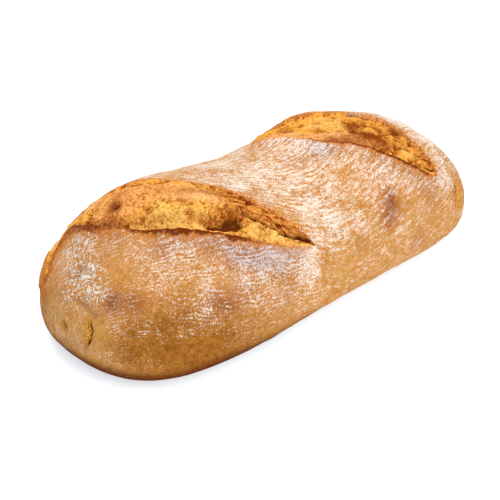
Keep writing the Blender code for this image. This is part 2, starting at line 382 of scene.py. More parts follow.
def wrinkle_coordinates(points):
    """Millimetres across the wrinkles of the bridge, across those of the front, and along the loaf.

    The first two are the arc around the section plus a slope times the place along the loaf. On
    the bridge the slope is 0.68 at the left and eases to -0.30 at the right. On the front it is
    0.16, and eases to 0.66 at the left end.
    """
    x, y, z = points[..., 0] * 1000, points[..., 1] * 1000, points[..., 2] * 1000
    around = ARC_RADIUS * np.arctan2(y, np.maximum(z - ARC_CENTRE, 0) + 12)
    fan = BRIDGE_SLOPE / 2 * (x - 14 * np.log(np.cosh((x - 6) / 14)))
    fan = fan - RIGHT_SLOPE * 12 * np.log1p(np.exp((x - 30) / 12))
    turned = FRONT_SLOPE * x - END_SLOPE * 8 * np.log1p(np.exp((-90 - x) / 8))
    return around + fan, around + turned, x - 0.4 * y


bridge_sides = wrinkle_coordinates(on_crust([(0, -20), (0, 20)]))[0]
print("across the wrinkles of the bridge:", np.round(bridge_sides), "mm")

# %% [markdown]
# Baked lips tear, so their edges are ragged. Layered noise shifts the two lip distances by a fraction of
# a millimetre, and each point then gets shares from 0 to 1 that say how far it is inside an opening,
# behind it, or on top of the loaf. All the later cells ask for these shares and never measure again.

# %% Place in a torn cut
FADE_WIDTH, LIP_GROWTH = 0.010, 0.032
RAGGED_COARSE, RAGGED_FINE, RAGGED_WIDTH = 0.0006, 0.0003, 0.012
SOFT_FRONT, SOFT_BACK, SOFT_TIP = 0.0012, 0.0010, 0.0012
TOP_FROM, TOP_TO = 0.018, 0.028


def in_cut(base, cut):
    """Where points lie in a cut with torn, ragged lips, and how far inside its opening.

    Place runs from 0 at the front lip to 1 at the back lip. Outside is the distance in metres past
    the lips or a tip. Back_side, fade, lift, inside and top are shares from 0 to 1.
    """
    share, from_front, from_back, from_tip, beyond = place_in_cut(base[..., 0], base[..., 1], cut)
    width = from_front + from_back
    place = np.clip(from_front / np.maximum(width, 1e-6), 0, 1)
    ragged = RAGGED_COARSE * layered_noise(base, 0.009, 2, cut["salt"])
    ragged += RAGGED_FINE * layered_noise(base, 0.0022, 2, cut["salt"] + 5)
    ragged = ragged * smooth(width, 0.0, RAGGED_WIDTH)
    front_in, back_in = from_front + ragged, from_back + 0.6 * ragged
    inside = smooth(front_in, 0.0, SOFT_FRONT) * smooth(back_in, 0.0, SOFT_BACK)
    inside = inside * smooth(from_tip, 0, SOFT_TIP)
    outside = np.hypot(np.minimum(np.minimum(front_in, back_in), 0), beyond)
    top = smooth(base[..., 2], TOP_FROM, TOP_TO)
    grown = np.minimum(width, 1.5 * from_tip + cut["tear"][0])
    (fold,) = read_along(share, cut["fold"])
    return {"share": share, "place": place, "width": width, "fold": fold / 1000,
            "from_front": from_front, "from_back": from_back, "outside": outside + (1 - top) * 0.05,
            "back_side": smooth(from_front - from_back, -0.003, 0.003),
            "fade": smooth(width, 0.0, FADE_WIDTH), "lift": smooth(grown, 0.0, LIP_GROWTH),
            "inside": inside * top, "top": top}


middle = in_cut(on_crust([(-45, 0)]), LEFT_CUT)
print("the left opening is", np.round(middle["width"][0] * 1000, 1), "mm wide at its middle")

# %% [markdown]
# The skin of the loaf is the same everywhere: it rises at the lips, it waves gently because hands
# shaped it, and it is finely wrinkled. One function gives its height over the uncut loaf at any
# point, so that a coarse piece and a fine piece of skin agree where they meet. A displacement
# modifier would need one mesh for all of it.

# %% Skin relief
FRONT_LIP_RISE, BACK_LIP_RISE, LIP_SPREAD = 0.0018, 0.0007, 0.0055
FOLD_SPREAD, HOLLOW_AT, HOLLOW_SPREAD, HOLLOW_SHARE = 0.0030, 0.0060, 0.0022, 0.35
WAVE_HEIGHT, LUMP_HEIGHT, WRINKLE_HEIGHT = 0.0005, 0.00028, 0.00013


def skin_height(base, places):
    """Metres the skin stands over the uncut loaf.

    It is the rise of the lips and of the folded one, which has a hollow before it, less the
    pinches, plus the bumps, two crossing sine waves, layered noise and wrinkles.
    """
    x, y, z = base[..., 0], base[..., 1], base[..., 2]
    height = np.zeros_like(x)
    for found in places:
        rise = FRONT_LIP_RISE + (BACK_LIP_RISE - FRONT_LIP_RISE) * found["back_side"]
        height += rise * swell(found["outside"], 0, LIP_SPREAD) * found["lift"] * found["top"]
        fold = found["fold"] * (1 - found["back_side"]) * found["top"]
        hollow = HOLLOW_SHARE * swell(found["outside"], HOLLOW_AT, HOLLOW_SPREAD)
        height += fold * (swell(found["outside"], 0, FOLD_SPREAD) - hollow)
    for line, width, depth in PINCHES:
        distance = line_distance(base, in_metres(line)) + 0.0004 * soft_noise(base, 0.002, 31)
        height -= depth / 1000 * swell(np.maximum(distance, 0), 0, width / 1000)
    for place, width, rise in BUMPS:
        distance = np.linalg.norm(base - in_metres(place), axis=-1)
        height += rise / 1000 * swell(distance, 0, width / 1000)
    waves = np.sin(x * 105 + 1.0) * np.cos(y * 95 - z * 70) + np.sin(x * 60 - y * 110 + 2.0)
    height += WAVE_HEIGHT * waves * smooth(z, 0.004, 0.020) * (1 - (x / 0.135) ** 8)
    height += LUMP_HEIGHT * layered_noise(base, 0.009, 3, 40) * smooth(z, 0.003, 0.012)
    across, _, along = wrinkle_coordinates(base)
    bent = across + 1.6 * soft_noise(base, 0.007, 45)
    wrinkle = soft_noise(np.stack([bent * 0.001, along * 0.00018, 0 * along], axis=-1), 0.0024, 46)
    return height + WRINKLE_HEIGHT * wrinkle * smooth(z, 0.025, 0.045)


print("lips rise", FRONT_LIP_RISE * 1000, "mm in front and", BACK_LIP_RISE * 1000, "mm behind")

# %% [markdown]
# Flour sits where the cloth left it: thick and streaky on the bridge between the two cuts, in patches
# on the front, and hardly any low on the sides. Toasted places are browner, and the left end is pale.
# Painting this by hand would need an image, so each amount is a sum of soft bells placed on the
# loaf and is stored at each point of the mesh. A row has the place along and across the loaf and
# the reach, all in millimetres, and the strength.

# %% Flour, toast and pale places
FLOUR = [
    # the bridge between the cuts
    (-30, 35, 26, 0.7), (-8, 22, 22, 0.7), (14, 8, 22, 0.7), (-26, 2, 12, 0.8), (-14, -18, 11, 0.8),
    (30, -12, 18, 0.6), (8, -30, 16, 0.7), (40, 12, 18, 0.6), (58, -26, 16, 0.45), (3, -48, 12, 0.95),
    (14, 40, 22, 0.7), (76, -32, 12, 0.45), (30, -48, 10, 0.3),
    # the front
    (-62, -66, 12, 0.3), (-20, -60, 12, 0.1), (-86, -50, 10, 0.3), (-100, -32, 8, 0.35),
    (-84, -18, 14, 0.4), (-61, -42, 9, 0.6), (-50, -45, 8, 0.9), (-40, -48, 8, 0.9), (-28, -52, 8, 0.6),
    (-14, -54, 8, 0.5), (-50, -56, 9, 0.25), (-78, -30, 12, 0.6), (-92, -16, 10, 0.5),
    # the left end
    (-106, 16, 7, 0.3), (-118, 2, 6, 0.5), (-121, -4, 6, 0.7), (-105, 32, 8, 0.2), (-98, -45, 7, 0.4),
    (-113, -42, 7, 0.4),
    # the right end and the back
    (112, -18, 14, 0.4), (100, 30, 18, 0.95), (108, 0, 14, 0.85), (92, -40, 10, 0.5), (102, -44, 9, 0.45),
    (60, 55, 30, 0.8), (-50, 60, 30, 0.6),
]
TOAST = [
    # the left end and the front
    (-119, -20, 7, 0.75), (-112, -30, 6, 0.6), (-80, -54, 7, 0.9), (-72, -57, 6, 0.7), (-95, 4, 9, 0.4),
    (-100, 20, 9, 0.5), (-88, -24, 8, 0.45), (-58, -38, 8, 0.4), (-70, -38, 7, 0.4), (-60, -56, 8, 0.4),
    (-35, -58, 7, 0.35), (-121, -20, 6, 0.6), (-115, -30, 5, 0.4), (-62, -46, 5, 0.3),
    # the bridge
    (62, -22, 8, 0.35), (20, -5, 8, 0.35), (34, -2, 7, 0.4), (2, 20, 7, 0.4), (38, -9, 7, 0.6),
    (40, 10, 7, 0.35), (-20, 30, 8, 0.3),
    # the right side
    (52, -50, 7, 0.95), (46, -54, 6, 0.7), (54, -46, 5, 0.6), (80, -50, 9, 0.45), (66, -58, 8, 0.4),
    (24, -55, 7, 0.3), (95, -44, 7, 0.4),
]
HAZE = [
    # a thin even haze of flour
    (9, -43, 8, 0.26), (14, -49, 7, 0.22), (4, -35, 7, 0.15), (17, -54, 5, 0.12), (106, -38, 7, 0.4),
    (112, -22, 10, 0.45), (100, 12, 16, 0.3), (-120, 5, 5, 0.15), (-122, -2, 4.5, 0.18),
    (-123.5, -8.5, 4.5, 0.15), (-40, -50, 6, 0.15), (-46, -49, 5, 0.15),
    # wiped clean
    (-130, -18, 8, -0.5), (-133, 0, 8, -0.3), (-128, 14, 6, -0.2), (-110, -10, 8, -0.25),
    (-104, -2, 8, -0.15), (5, -58, 9, -0.18),
]
GOLDEN = [
    (-105, -52, 24, 0.9), (-80, -61, 22, 0.75), (-122, -38, 14, 0.6), (-50, -62, 16, 0.3),
    (-128, 30, 14, 0.5),
]
PALE = [
    (-131, -18, 12, 0.9), (-132, 8, 12, 0.7), (-126, -36, 12, 0.4), (-128, 25, 12, 0.5),
    (112, 12, 14, 0.4), (5, -58, 11, 0.9),
]
# Places of painted cool shade on the skin, beside the front lips and on the bridge.
COOL_SHADE_SPOTS = [(-56, -45, 8, 0.9), (-46, -50, 7, 0.7), (-35, -53, 6, 0.6), (37, -8, 6, 0.4), (44, -12, 5, 0.3)]
CURLED = [(-119, 4, 10, 1.3), (-122, -8, 8, 1.1), (-108, 22, 10, 0.9), (-127, 8, 9, 0.9)]
print(len(FLOUR), "flour places,", len(TOAST), "toasted places")

# %% [markdown]
# Thin edges bake fastest, so the front lips are dark brown and ragged, and the rims behind are bright
# brown. These colours depend on the distance to a lip, which the places in the cuts already hold. The
# marks at the ends depend on the distance to their lines.

# %% Lips and marks
SHADE_REACH = 0.0090


def lip_facts(base, places):
    """Brown of the front lips, brown of the rims behind, painted cool shade in front of the lips, and share
    of flour kept.

    Each is a bell of the distance outside an opening, with the reach and strength of its rows. A
    wobble of layered noise makes the brown of the front lips ragged.
    """
    lip, rim, cool_shade, kept = 0.0, 0.0, 0.0, 1.0
    for cut, found in zip(CUTS, places):
        share, outside, top = found["share"], found["outside"], found["top"]
        ahead, behind = found["fade"] * (1 - found["back_side"]), found["fade"] * found["back_side"]
        # The cool tint just in front of each lip is painted shade.
        (shade_strength,) = read_along(share, cut["cool_shade"])
        cool_shade = np.maximum(cool_shade, shade_strength * swell(outside, 0, SHADE_REACH) * ahead * top)
        wobble = 1 + 0.30 * layered_noise(base, 0.0050, 2, cut["salt"] + 9)
        wobble = np.maximum(wobble + 0.45 * layered_noise(base, 0.0014, 2, cut["salt"] + 12), 0.2)
        reach, brown = read_along(share, cut["lip"])
        in_front = brown * ahead * swell(outside, 0, reach / 1000 * wobble)
        lip = np.maximum(lip, in_front * top)
        (reach,) = read_along(share, cut["rim"])
        in_back = behind * swell(outside, 0, reach / 1000)
        rim = np.maximum(rim, in_back * top)
        kept = kept * (1 - 0.75 * smooth(in_front, 0.55, 1.05) * top) * (1 - in_back * top)
    return lip, rim, cool_shade, kept


def mark_facts(base):
    """Nearness to each kind of mark: the highest bell of the distance to its lines."""
    wobble = 0.0004 * soft_noise(base, 0.0015, 33)
    marks = {}
    for name, rows in MARKS.items():
        near = [swell(line_distance(base, in_metres(line)) + wobble, 0, width / 1000) for line, width in rows]
        marks[name] = np.max(near, axis=0)
    return marks


print("kinds of mark:", ", ".join(MARKS))

# %% [markdown]
# A material can't ask numpy anything, so all that the colours need is worked out here and stored with
# each point of the mesh. The finish then reads these facts by their names.

# %% Facts of the skin
FLOUR_LIMIT, THIN_FLOUR, FLOUR_PATCHES, THIN_PATCHES = 1.15, 0.16, 0.65, 1.2
SOLE_TOAST, TOAST_PATCHES = 0.75, 0.16
BOTTOM_FROM, BOTTOM_TO = 0.006, 0.021


def skin_facts(base, places):
    """What the skin is like at each point, as numbers for the colours.

    Flour is one less e to the minus sum of its bells, so that it can't pile up, and a thin film.
    Ahead is 1 in front of the left cut and 0 behind it. Bottom is 1 at the foot of the left half.
    Across, facing and along are the wrinkle coordinates.
    """
    x, z = base[..., 0], base[..., 2]
    lip, rim, cool_shade, kept = lip_facts(base, places)
    patchy = layered_noise(base, 0.018, 3, 60)
    flour = spots(base, FLOUR) * (1 + FLOUR_PATCHES * patchy)
    flour = FLOUR_LIMIT * (1 - np.exp(-flour))
    flour = flour + THIN_FLOUR * smooth(z, 0.010, 0.040) * (1 + THIN_PATCHES * patchy)
    toast = spots(base, TOAST) + TOAST_PATCHES * layered_noise(base, 0.024, 3, 80)
    toast += SOLE_TOAST * (1 - smooth(z, 0.001, 0.009))
    left, run, _ = cut_line(LEFT_CUT)
    beyond_cut = (base[..., 1] - left[1]) * run[0] - (x - left[0]) * run[1]
    across, facing, along = wrinkle_coordinates(base)
    return {"flour": np.clip(flour * kept, 0, 1.3), "toast": toast, "pale": spots(base, PALE),
            "golden": spots(base, GOLDEN), "haze": spots(base, HAZE), "lip": lip, "rim": rim,
            "cool_shade": np.clip(cool_shade + spots(base, COOL_SHADE_SPOTS), 0, 1), "curled": np.clip(spots(base, CURLED), 0, 1),
            "ahead": 1 - smooth(beyond_cut, -0.014, 0.0),
            "bottom": (1 - smooth(z, BOTTOM_FROM, BOTTOM_TO)) * (1 - smooth(x, -0.085, 0.045)),
            "across": across, "facing": facing, "along": along, **mark_facts(base)}


bridge = on_crust([(0, 0)])
bridge_facts = skin_facts(bridge, [in_cut(bridge, cut) for cut in CUTS])
print(len(bridge_facts), "facts; flour on the bridge", np.round(bridge_facts["flour"][0], 2))

# %% [markdown]
# Each piece of the loaf is a closed skin made from a grid of rings. Quads join the rings, and a fan
# closes each end, so no hole is left and the volume can be measured. The sign of the volume also tells
# whether the faces point outwards. The facts are written into the mesh beside its points.

# %% Closed skins


def closed_skin(name, points, facts):
    """A closed mesh from a grid of rings: quads between the rings and a fan at each end."""
    points = np.clip(points - np.array([0, CENTRE_Y, 0]), np.array(solid_low), np.array(solid_high))
    rings, around = points.shape[0] - 2, points.shape[1]
    ends = np.stack([points[0].mean(axis=0), points[-1].mean(axis=0)])
    verts = np.vstack([points[1:-1].reshape(-1, 3), ends])
    index = np.arange(rings * around).reshape(rings, around)
    beside = np.roll(index, -1, axis=1)
    quads = np.stack([index[:-1], index[1:], beside[1:], beside[:-1]], axis=-1).reshape(-1, 4)
    first = np.full(around, rings * around)
    fans = np.vstack([np.stack([first, index[0], beside[0]], axis=-1),
                      np.stack([first + 1, beside[-1], index[-1]], axis=-1)])
    mesh = bpy.data.meshes.new(name)
    mesh.from_pydata(verts.tolist(), [], quads.tolist() + fans.tolist())
    a, b, c, d = (verts[quads[:, k]] for k in range(4))
    volume = np.sum(np.cross(a, b) * c) + np.sum(np.cross(a, c) * d)
    if volume < 0:
        mesh.flip_normals()
    mesh.polygons.foreach_set("use_smooth", np.ones(len(mesh.polygons), bool))
    for key, values in facts.items():
        data = mesh.attributes.new(key, "FLOAT", "POINT").data
        tail = np.array([values[0].mean(), values[-1].mean()])
        data.foreach_set("value", np.concatenate([values[1:-1].reshape(-1), tail]).astype(np.float32))
    mesh.update()
    piece = bpy.data.objects.new(name, mesh)
    bpy.context.scene.collection.objects.link(piece)
    triangles, volume_cc = 2 * len(quads) + len(fans), abs(volume) / 6 * 1e6
    print(name, "has", triangles, "triangles, volume", round(volume_cc, 1), "cc")
    return piece


# %% [markdown]
# The crust is the whole skin of the loaf. Where the finer pieces of the openings lie over it, it
# ducks under them by a millimetre or more, and comes back up a few millimetres outside the lips.

# %% Crust piece
RINGS, OVER, UNDER = 452, 178, 40
DUCK_FROM, DUCK_TO = 0.0020, 0.0042
DUCK_BESIDE, DUCK_INSIDE = 0.0012, 0.0075
CRUMB_FACTS = ("torn", "crack_shade", "skinned", "calm", "yellow", "umber", "relief", "wall", "rip", "run")


def crust_piece():
    """The skin on a grid that is packed closer above than below, and closer at the ends.

    A ring's place along the loaf is the sine of even steps. It stands over the uncut loaf by the
    skin's height, less the ducking under the openings.
    """
    s = np.sin(np.linspace(-1, 1, RINGS) * np.pi / 2)
    v = np.concatenate([np.linspace(0, np.pi, OVER, endpoint=False),
                        np.linspace(np.pi, 2 * np.pi, UNDER, endpoint=False)])
    s, v = np.meshgrid(s, v, indexing="ij")
    base, out = loaf_frame(s, v)
    places = [in_cut(base, cut) for cut in CUTS]
    height = skin_height(base, places)
    for found in places:
        under = (1 - smooth(found["outside"], DUCK_FROM, DUCK_TO)) * found["fade"] * found["top"]
        height = height - under * (DUCK_BESIDE + DUCK_INSIDE * found["inside"])
    facts = skin_facts(base, places)
    facts.update({name: np.zeros_like(height) for name in CRUMB_FACTS})
    points = base + out * height[..., None]
    points[..., 2] = np.maximum(points[..., 2], 0)
    return closed_skin("crust", points, facts)


crust = crust_piece()

# %% [markdown]
# Each opening is a piece of its own, because torn crumb is far rougher than crust. It is a fine
# leaf-shaped grid that reaches a little past the lips, so that it holds the lips as well. Between them
# it takes the height of the crumb. In the left opening that is a general fill, a dome that swelled
# up and ends in a nose, dough skin at the left, a torn wall behind the nose, and cracks. A crack's
# row has its places and its width in millimetres, and its depth as a share, which also sets how dark
# the shade painted into it is. The dome's foot and the wall's breadth in millimetres are rows along
# the share of the cut.

# %% Places in the left opening
CLEFT = (
    (-37.5, -18.5), (-32.5, -25.5), (-28.5, -30.5), (-27.0, -34), (-21, -40), (-15, -43), (-8, -48),
)
LEFT_CRACKS = [
    (CLEFT[:3], 1.6, 1.0), (CLEFT[2:5], 0.9, 0.75), (CLEFT[4:6], 1.5, 0.9), (CLEFT[5:], 0.9, 0.75),
    (((-37, -14.2), (-33, -20.8)), 0.9, 0.85),
    (((-27.3, -19.8), (-23.8, -21.9)), 0.8, 0.8),
    (((-20.7, -33.4), (-18.7, -37.6)), 0.9, 0.6),
    (((-60.5, 24.5), (-57.5, 20.5)), 1.2, 0.55),
    (((-50.5, 22.0), (-46.5, 16.5), (-40, 6.5)), 0.9, 0.5),
    (((-86, 21), (-84, 18)), 1.8, 0.6),
    (((-81, -4), (-78, -8)), 1.2, 0.45),
    (((-58, -26.5), (-50, -30), (-45, -31.5), (-40.5, -31.0)), 1.8, 0.95),
    (((-50, -28.5), (-45, -29.5), (-41, -29.5)), 3.2, 0.85),
    (((-36.5, -38), (-35, -39.5)), 0.8, 0.4),
]
LEDGE_LUMP = [(-34.6, -35, 6, 1.0)]
LEFT_YELLOW = [(-76, -10, 9, 0.9), (-62, -22, 8, 0.6), (-86, -2, 6, 0.5)]
LEFT_UMBER = [
    (-54, 0, 6, 0.5), (-45, -7, 6, 0.5), (-37, -12, 5, 0.5), (-85, 19, 5, 0.8), (-46, -27, 4.5, 0.7),
    (-64, 8, 5, 0.35), (-40, -25, 3.5, 0.5), (-95, 14, 7, 0.6), (-78, 26, 6, 0.35),
]
NOSE_FOOT = (
    (-0.6, 0.05), (-0.35, 0.14), (-0.16, 0.15), (0.0, 0.16), (0.28, 0.24), (0.37, 0.30), (0.47, 0.37),
    (1.0, 0.4),
)
WALL_BREADTH = ((0.0, 9.5), (0.6, 9.0), (0.75, 7.5), (0.85, 4.5), (0.97, 1.0), (1.0, 0.6))
print(len(LEFT_CRACKS), "cracks in the left opening")

# %% [markdown]
# Each form of the crumb is a height over the fill. Soft steps of the share along the cut and of the
# place across it switch the forms on and off, and a little noise makes every edge ragged. The cracks are
# cut last, so they run through all of it.

# %% Crumb height: left opening
NOSE_AT, METRES_PER_SHARE = 0.475, 0.0702
LEFT_DEPTH, DOME_RISE, DOME_SWELL = 0.0034, 0.0030, 0.0032
LUMP_RISE, LEDGE_RISE, SKIN_RISE, SKIN_GROOVE = 0.0010, 0.0008, 0.0011, 0.0012
WALL_TOP, WALL_DROP, LEFT_CRACK_DEPTH = 0.0008, 0.0050, 0.0042


def left_dome(share, place, width, ragged):
    """The dome, 1 on it and 0 off it, and the calm middle of its back.

    It begins at its foot line and ends at the nose, and both of its edges are ragged.
    """
    (foot,) = read_along(share, NOSE_FOOT)
    over_foot = (place - foot) * width + 2.0 * ragged
    behind_nose = (NOSE_AT - share) * METRES_PER_SHARE + 2.0 * ragged
    dome = smooth(over_foot, -0.0008, 0.0042) * smooth(behind_nose, -0.0008, 0.0048)
    calm = 0.9 * dome * smooth(place, 0.40, 0.60) * (1 - smooth(place, 0.80, 0.90))
    return dome, calm * smooth(behind_nose, 0.004, 0.020)


def left_skin(share, place, ragged):
    """Dough skin in the left part of the opening, and the groove where it meets the crumb."""
    edge = share + 0.37 - 0.8 * (place - 0.17) + 12 * ragged
    soft = 0.02 + 0.30 * smooth(place, 0.42, 0.75)
    skinned = (1 - smooth(edge, -soft, soft)) * smooth(place, 0.03, 0.10) * (1 - smooth(place, 0.74, 0.84))
    groove = swell(edge, 0.03, 0.035) * (1 - smooth(place, 0.3, 0.5)) * smooth(place, 0.05, 0.12)
    return skinned * smooth(share, -0.72, -0.60), groove


def left_wall(share, from_back, ragged):
    """The torn wall, how far down it a point is, from 0 to 1, and a line of painted shade along its foot."""
    (breadth,) = read_along(share, WALL_BREADTH)
    down = np.clip((from_back + 1.5 * ragged) / (breadth / 1000), 0, 1)
    wall = smooth(share, 0.16, 0.40) * (1 - smooth(down, 0.85, 1.0))
    # The foot of the wall lies in shade behind the ledge, so a dark line is painted along it.
    foot = smooth(down, 0.55, 0.80) * (1 - smooth(down, 0.93, 1.0)) * smooth(share, 0.36, 0.46)
    return wall, down, 0.60 * foot * (1 - 0.5 * smooth(share, 0.55, 0.7))


def left_crumb(base, found, ragged):
    """Height of the left crumb in metres, and its facts.

    The fill carries the dome, the skin and their details. The wall takes its place where it
    stands, and the cracks are cut into both.
    """
    share, place = found["share"], found["place"]
    dome, calm = left_dome(share, place, found["width"], ragged)
    skinned, groove = left_skin(share, place, ragged)
    wall, down, foot = left_wall(share, found["from_back"], ragged)
    crown = DOME_RISE + DOME_SWELL * swell(share, 0.12, 0.42) * swell(place, 0.50, 0.32)
    height = -LEFT_DEPTH + crown * dome + LUMP_RISE * spots(base, LEDGE_LUMP)
    height += LEDGE_RISE * smooth(share, 0.45, 0.6) * (1 - smooth(place, 0.35, 0.6))
    height += SKIN_RISE * skinned - SKIN_GROOVE * groove
    height = height * (1 - wall) + wall * (-WALL_TOP - WALL_DROP * down**1.2)
    # The nearness to the cracks cuts them into the crumb and also paints shade into them.
    crack_shade = grooves(base, LEFT_CRACKS, 1.2 * ragged)
    height -= LEFT_CRACK_DEPTH * crack_shade * smooth(found["from_front"], 0, 0.003)
    yellow = smooth(share, 0.50, 0.62) + 0.8 * spots(base, LEFT_YELLOW)
    yellow = (yellow + 0.24 * dome + 0.40 * (1 - dome)) * (1 - wall)
    return height, {"skinned": skinned, "wall": wall, "crack_shade": np.maximum(crack_shade, foot),
                    "calm": calm * (1 - skinned), "yellow": yellow * (1 - skinned),
                    "umber": spots(base, LEFT_UMBER)}


print("the dome rises", np.round((DOME_RISE + DOME_SWELL - LEFT_DEPTH) * 1000, 1), "mm over the uncut loaf")

# %% [markdown]
# The right opening is shallower. Smooth dough skin runs along its front lip and curls up into a rounded
# fold, and behind that the crumb is torn into pockets.

# %% Places in the right opening
RIGHT_CRACKS = [
    (((84.5, 18.5), (87.5, 16.5)), 2.2, 1.0),
    (((60, 21), (63, 19), (66, 15)), 0.9, 0.6),
    (((61, 14), (65, 11.5)), 1.3, 0.55),
    (((66.5, 3.5), (68, 1.5)), 1.3, 0.7),
    (((70.5, 1.0), (72, -1.5)), 1.3, 0.7),
    (((87, -24), (90, -27)), 1.7, 0.8),
    (((93.5, -29), (95, -31)), 1.4, 0.7),
    (((94, -39.5), (95.5, -41.5)), 1.2, 0.9),
    (((76, -6), (80, -13), (82, -20)), 1.2, 0.6),
    (((60, -5), (68, -7), (76, -12), (80, -19)), 1.0, 0.65),
]
RIGHT_FOLD = [(64, -12, 5.5, 1.0), (69, -15, 6.0, 1.0), (74, -19, 5.0, 0.9)]
RIGHT_YELLOW = [(61, 15, 7, 1.0), (66, 6, 6, 0.9), (87, -30, 5, 1.0), (54, 20, 5, 0.6), (92, -32, 3, 0.6)]
RIGHT_UMBER = [
    (50, -3, 6, 0.6), (68, -12, 6, 0.8), (75, -17, 6, 0.9), (57, -9, 5, 0.6), (44, 30, 6, 0.4),
    (76, 4, 4, 0.6), (84, -6, 6, 0.35), (94, -12, 4, 0.7), (70, 0, 5, 0.6),
]
print(len(RIGHT_CRACKS), "cracks in the right opening")

# %% [markdown]
# The same soft steps give the right crumb its band of skin and its fold. Its wall is low, so it only
# changes the texture and not the height.

# %% Crumb height: right opening
RIGHT_DEPTH, RIGHT_SWELL, BAND_RISE, FOLD_RISE = 0.0028, 0.0018, 0.0016, 0.0030
FOLD_GRAIN, RIGHT_CRACK_DEPTH = 0.0006, 0.0036


def right_crumb(base, found, ragged):
    """Height of the right crumb in metres, and its facts.

    The fill swells in the middle. A band of skin with a wavy edge and the fold lie on it, and the
    cracks are cut into it.
    """
    share, place = found["share"], found["place"]
    band_edge = place - (0.27 + 0.06 * np.sin(share * 9)) + 20 * ragged
    band = (1 - smooth(band_edge, -0.015, 0.02)) * (1 - smooth(share, 0.15, 0.3)) * smooth(place, 0.0, 0.05)
    fold = np.clip(spots(base, RIGHT_FOLD), 0, 1.25)
    # The nearness to the cracks cuts them into the crumb and also paints shade into them.
    crack_shade = grooves(base, RIGHT_CRACKS, ragged)
    height = -RIGHT_DEPTH + RIGHT_SWELL * swell(share, 0.0, 0.5) * swell(place, 0.6, 0.3)
    height += BAND_RISE * band + FOLD_RISE * fold * smooth(found["from_front"], 0.0, 0.004)
    height += FOLD_GRAIN * soft_noise(base, 0.003, 231) * smooth(fold, 0.1, 0.6)
    height -= RIGHT_CRACK_DEPTH * crack_shade
    skinned = np.clip(band + 0.7 * smooth(fold, 0.3, 0.8), 0, 1)
    wall = smooth(share, 0.30, 0.5) * (1 - smooth(found["from_back"], 0.003, 0.0055))
    return height, {"skinned": skinned, "wall": wall, "crack_shade": crack_shade, "calm": 0.4 * band,
                    "yellow": spots(base, RIGHT_YELLOW) * (1 - skinned),
                    "umber": spots(base, RIGHT_UMBER) + 0.12 * (1 - band)}


print("the right crumb lies", RIGHT_DEPTH * 1000, "mm deep at its ends")

# %% [markdown]
# A square grid over the whole top would be too coarse for the crumb, so the grid of an opening has the
# shape of its leaf. Rings of points cross the cut from margin to margin and return below.

# %% Grid of an opening
ROWS, ACROSS, BELOW = 470, 196, 10
LIP_MARGIN, CLOSED_ROOM = 0.0065, 0.0002


def opening_grid(cut):
    """Metres across and along a cut for rings of points, and which points are on top.

    A ring runs from the front margin over to the back margin, and returns below. The rings lie
    closer at the tips, where the margins close.
    """
    length = cut_line(cut)[2]
    t = np.linspace(-1, 1, ROWS)
    stretch = np.sin(t * np.pi / 2) * 0.35 + t * 0.65
    place = np.concatenate([np.linspace(0, 1, ACROSS), np.linspace(1, 0, BELOW + 2)[1:-1]])
    stretch, place = np.meshgrid(stretch, place, indexing="ij")
    start, end = -1 - 2 * cut["margins"][0] / length, 1 + 2 * cut["margins"][1] / length
    share = start + (stretch + 1) / 2 * (end - start)
    front, back = lip_distances(share, cut)
    room = LIP_MARGIN * np.sqrt(np.clip(1 - stretch**16, 0, 1)) + CLOSED_ROOM
    across = -(front + room) + (front + back + 2 * room) * place
    is_top = np.broadcast_to(np.arange(ACROSS + BELOW) < ACROSS, place.shape)
    return across, (share + 1) / 2 * length, is_top


print("grid of", ROWS, "rings with", ACROSS + BELOW, "points each")

# %% [markdown]
# Both openings share the same roughness. Crumbs are rounded lumps from bubble noise, crevices are
# thin dark lines where soft noise changes sign, and the walls are torn into streaks that run along
# the cut. It is made in the mesh and not as a bump, because torn crumb breaks the outline of the loaf.

# %% Roughness of torn crumb


def crumb_relief(base, across, along, wall, salt):
    """Roughness of torn crumb: lumps and bubbles less pores and crevices, and streaks on the wall."""
    lumps = layered_noise(base, 0.006, 3, salt + 50)
    bubbles = 1 - np.minimum(bubble_noise(base, 0.0028, salt + 30), 1) ** 2
    pores = swell(bubble_noise(base, 0.0022, salt + 35), 0, 0.30)
    crevices = np.exp(-np.abs(layered_noise(base, 0.0045, 2, salt + 60)) * 13)
    drawn_out = np.stack([along / 7.0, across, 0 * along], axis=-1)
    streaks = layered_noise(drawn_out, 0.0016, 2, salt + 70)
    relief = 0.85 * lumps + 0.25 * (bubbles - 0.6) - 0.6 * pores - 0.8 * crevices + 0.15
    return relief * (1 - 0.6 * wall) + 0.75 * streaks * wall


trial_relief = crumb_relief(trial, trial[:, 0], trial[:, 1], 0.0, 100)
print("crumb relief spreads", np.round(trial_relief.std(), 2), "round", np.round(trial_relief.mean(), 2))

# %% [markdown]
# Now an opening can be put together. Between its lips it takes the height of the crumb, with the
# roughness, of which smooth dough skin keeps only a little. Outside the lips it takes the height of
# the skin, and at its edge it dives under the crust, so no seam shows.

# %% Opening pieces
CRUMB_RELIEF, TIP_DEPTH = 0.00150, 0.0003
DIVE, DIVE_FROM, DIVE_TO = 0.0016, 0.0044, 0.0062
UNDERSIDE_DEPTH, UNDERSIDE_TIP_DEPTH = 0.0110, 0.0022


